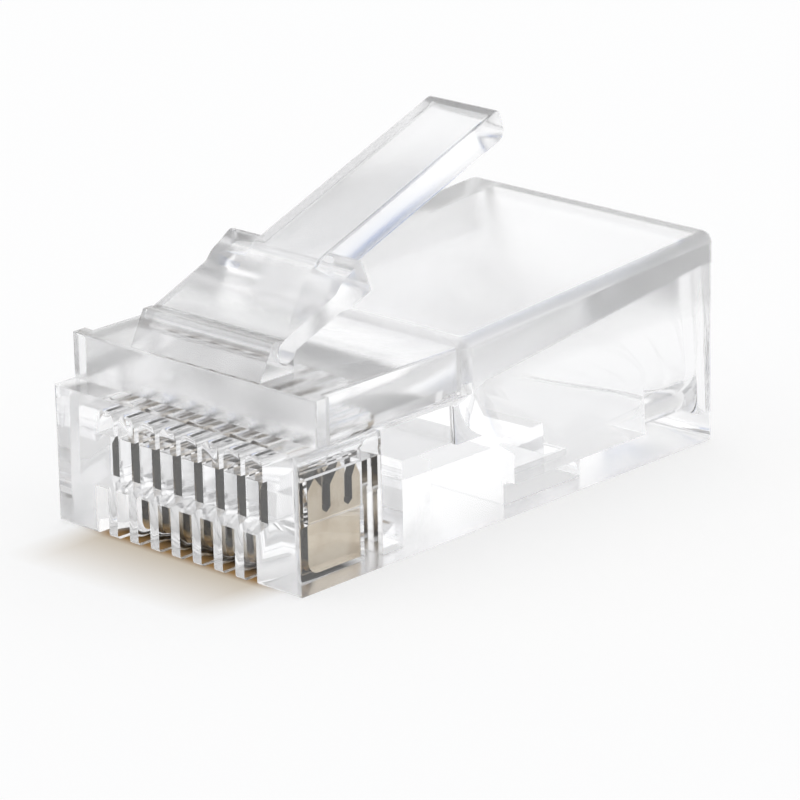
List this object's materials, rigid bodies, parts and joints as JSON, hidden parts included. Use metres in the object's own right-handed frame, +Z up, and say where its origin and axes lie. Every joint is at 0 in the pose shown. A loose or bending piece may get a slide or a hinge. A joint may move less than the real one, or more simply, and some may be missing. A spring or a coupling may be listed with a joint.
{
  "type": "rj45 modular plug",
  "caption": "Clear crimp plug for network cable: gold blade contacts in a slotted nose, wire channels, crimp clamp bars, an open cable mouth and a springy latch lever on top.",
  "frame": {"origin": "below the middle of the plug's length and width, on the surface that its belly lies on", "axes": "+X across the plug, +Y from the nose to the cable end, +Z up through the latch"},
  "size_m": [0.0116, 0.0214, 0.0129],
  "materials": {
    "clear_plastic": "polished clear polycarbonate",
    "gold_plate": "thin gold plate on bronze strip"
  },
  "bodies": {
    "plug": {"housing": "clear_plastic", "contact_1": "gold_plate", "contact_2": "gold_plate", "contact_3": "gold_plate", "contact_4": "gold_plate", "contact_5": "gold_plate", "contact_6": "gold_plate", "contact_7": "gold_plate", "contact_8": "gold_plate"},
    "latch": {"latch_lever": "clear_plastic"}
  },
  "joints": [
    {"name": "latch_flex", "type": "hinge", "parent": "plug", "child": "latch", "pos_m": [0, -0.00828, 0.00738], "axis": [-1, 0, 0], "range_deg": [0, 18.5], "stiffness_Nm_per_rad": 0.1}
  ]
}
